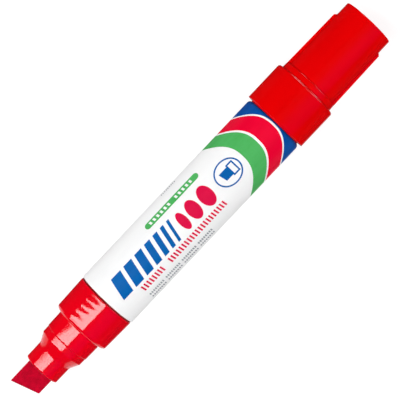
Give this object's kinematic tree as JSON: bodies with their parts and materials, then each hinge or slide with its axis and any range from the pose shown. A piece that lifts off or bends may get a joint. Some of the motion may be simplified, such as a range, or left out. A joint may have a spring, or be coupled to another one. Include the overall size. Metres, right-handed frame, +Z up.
{
  "type": "felt tip marker",
  "caption": "Jumbo felt tip marker: printed aluminium barrel, stepped red front, slanted chisel nib, and a red cap posted on the tail.",
  "frame": {"origin": "on the surface the marker lies on, under the middle of its length, on the marker's axis line seen from above", "axes": "+X along the marker's axis towards the cap's closed end, +Z up through the nib's broad face"},
  "size_m": [0.196, 0.028, 0.0281],
  "materials": {
    "felt": "dense pressed felt, soaked with red ink",
    "red_plastic": "smooth moulded polypropylene",
    "dark_red_seal": "soft matt seal ring",
    "printed_aluminium": "white lacquered and printed aluminium",
    "print_blue": "glossy blue printing ink",
    "print_green": "glossy green printing ink",
    "print_crimson": "glossy crimson printing ink",
    "print_grey": "grey printing ink",
    "ink_wadding": "ink-soaked fibre bundle",
    "clear_film": "thin plastic film",
    "liner_plastic": "natural polyethylene"
  },
  "bodies": {
    "barrel": {"barrel_tube": "printed_aluminium", "front_collar": "red_plastic", "nib_holder": "red_plastic", "collar_gasket": "dark_red_seal", "tail_plug": "red_plastic", "ink_reservoir": "ink_wadding", "reservoir_wrap": "clear_film"},
    "cap": {"cap_shell": "red_plastic", "cap_liner": "liner_plastic"},
    "nib": {"felt_nib": "felt"}
  },
  "joints": [
    {"name": "cap_slide", "type": "slide", "parent": "barrel", "child": "cap", "axis": [1, 0, 0], "range_m": [0, 0.03]},
    {"name": "nib_slide", "type": "slide", "parent": "barrel", "child": "nib", "axis": [-1, 0, 0], "range_m": [0, 0.033]}
  ]
}
